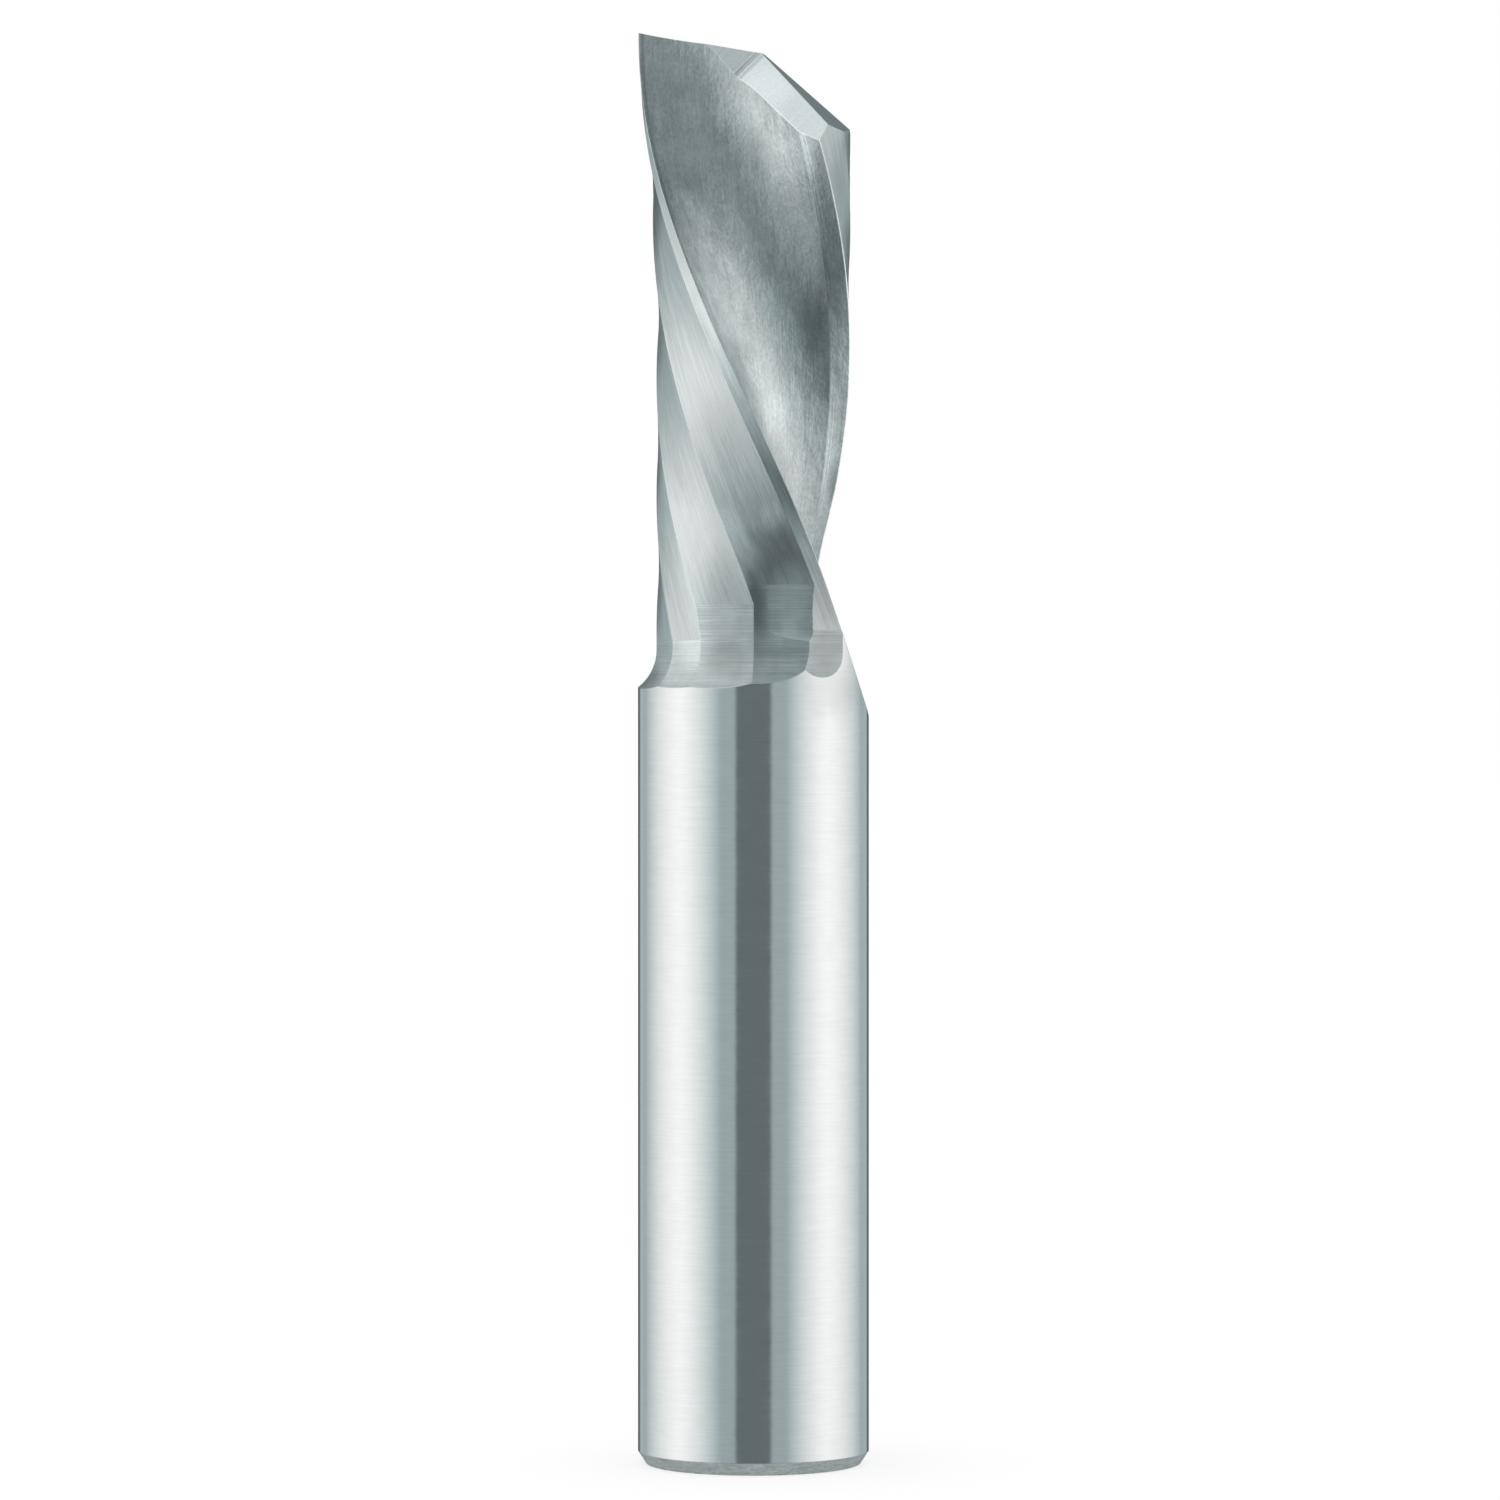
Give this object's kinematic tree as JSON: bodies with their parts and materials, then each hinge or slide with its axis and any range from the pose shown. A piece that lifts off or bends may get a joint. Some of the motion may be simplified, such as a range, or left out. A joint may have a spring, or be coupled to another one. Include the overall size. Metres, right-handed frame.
{
  "type": "single flute end mill",
  "caption": "Solid carbide end mill with a single left-hand helical flute, ground relief flats, a dished end with a gash, and a plain round shank.",
  "frame": {"origin": "centre of the flat end face of the shank", "axes": "+Z along the tool's axis, from the shank end to the cutting tip; the cutting edge at the tip points to -X"},
  "size_m": [0.012, 0.012, 0.0743],
  "materials": {
    "carbide": "ground and polished solid carbide"
  },
  "bodies": {
    "root": {"end_mill": "carbide"}
  },
  "joints": []
}
